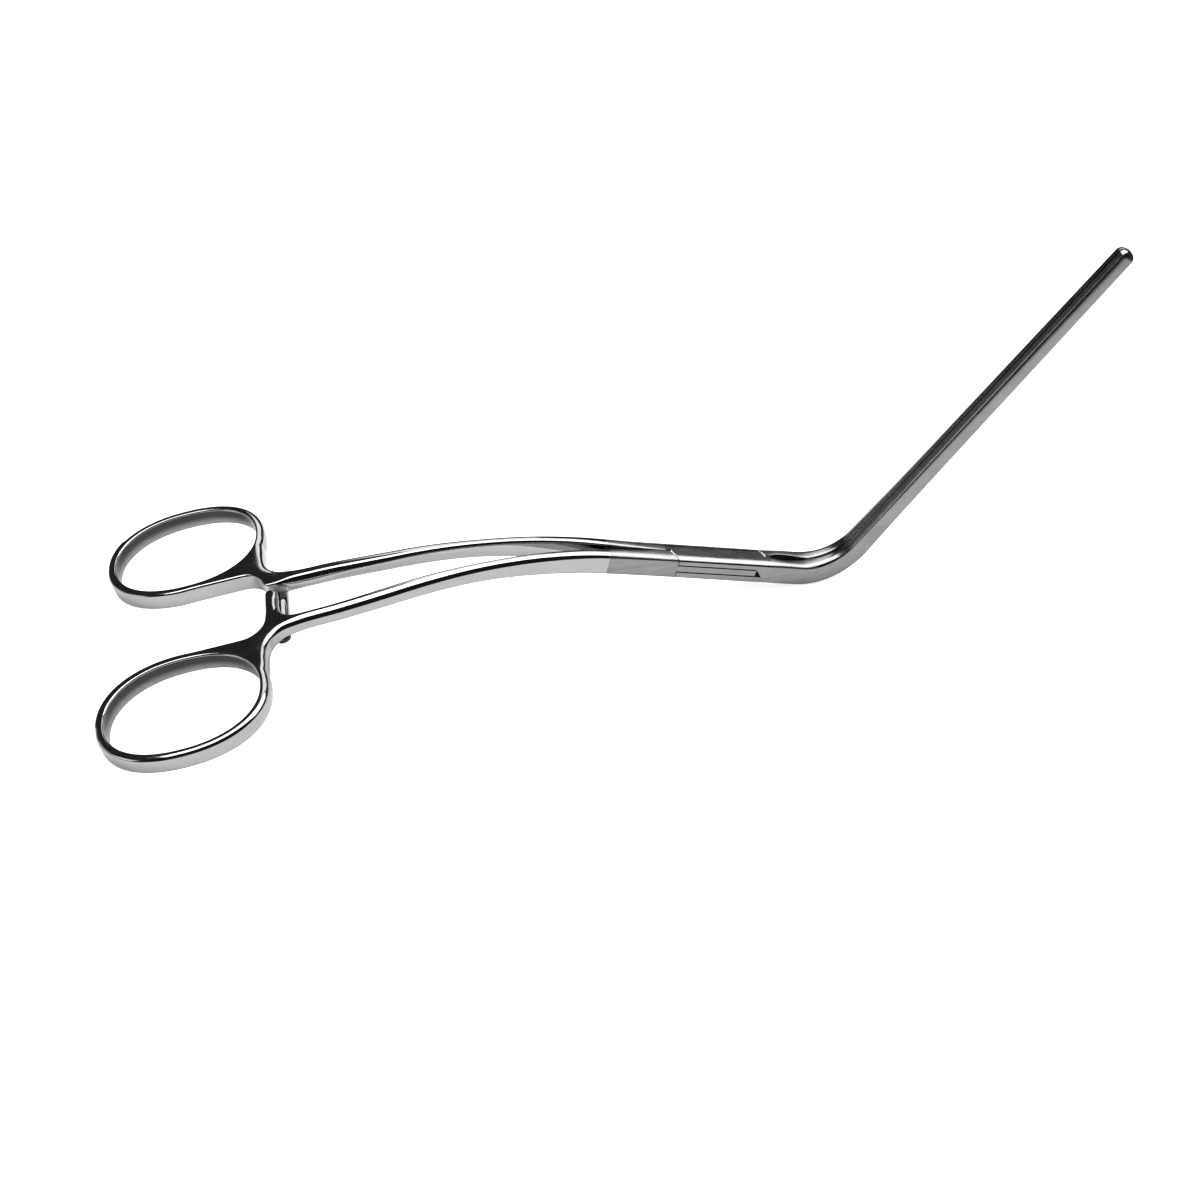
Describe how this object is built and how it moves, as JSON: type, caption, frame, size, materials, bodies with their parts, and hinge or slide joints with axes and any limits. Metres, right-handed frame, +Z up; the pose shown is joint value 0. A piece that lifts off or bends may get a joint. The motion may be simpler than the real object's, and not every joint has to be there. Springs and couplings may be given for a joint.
{
  "type": "aortic clamp",
  "caption": "Long ratcheted surgical clamp with a box lock, open finger rings, a bowed handle and straight toothed jaws angled steeply up from the box, closed",
  "frame": {"origin": "Floor level under the middle of the part's bounding box, with the clamp lying closed on the backs of its rings and on the heel of its jaws", "axes": "+X runs along the clamp from the finger rings to the jaws, +Y goes to the side of the half that carries the box at the handle, +Z is up"},
  "size_m": [0.2377, 0.0866, 0.0856],
  "materials": {
    "box_steel": "mirror polish on the ring and shank, satin on the box and jaw",
    "insert_steel": "mirror polish on the ring and shank, satin on the shoulders and jaw",
    "pin_steel": "satin, ground flush with the box"
  },
  "bodies": {
    "box_body": {"box_half": "box_steel", "pivot_pin": "pin_steel"},
    "insert_body": {"insert_half": "insert_steel"}
  },
  "joints": [
    {"name": "box_lock", "type": "hinge", "parent": "box_body", "child": "insert_body", "pos_m": [0.02823, 0, 0.00772], "axis": [0.2116, 0, 0.9774], "range_deg": [0, 24]}
  ]
}
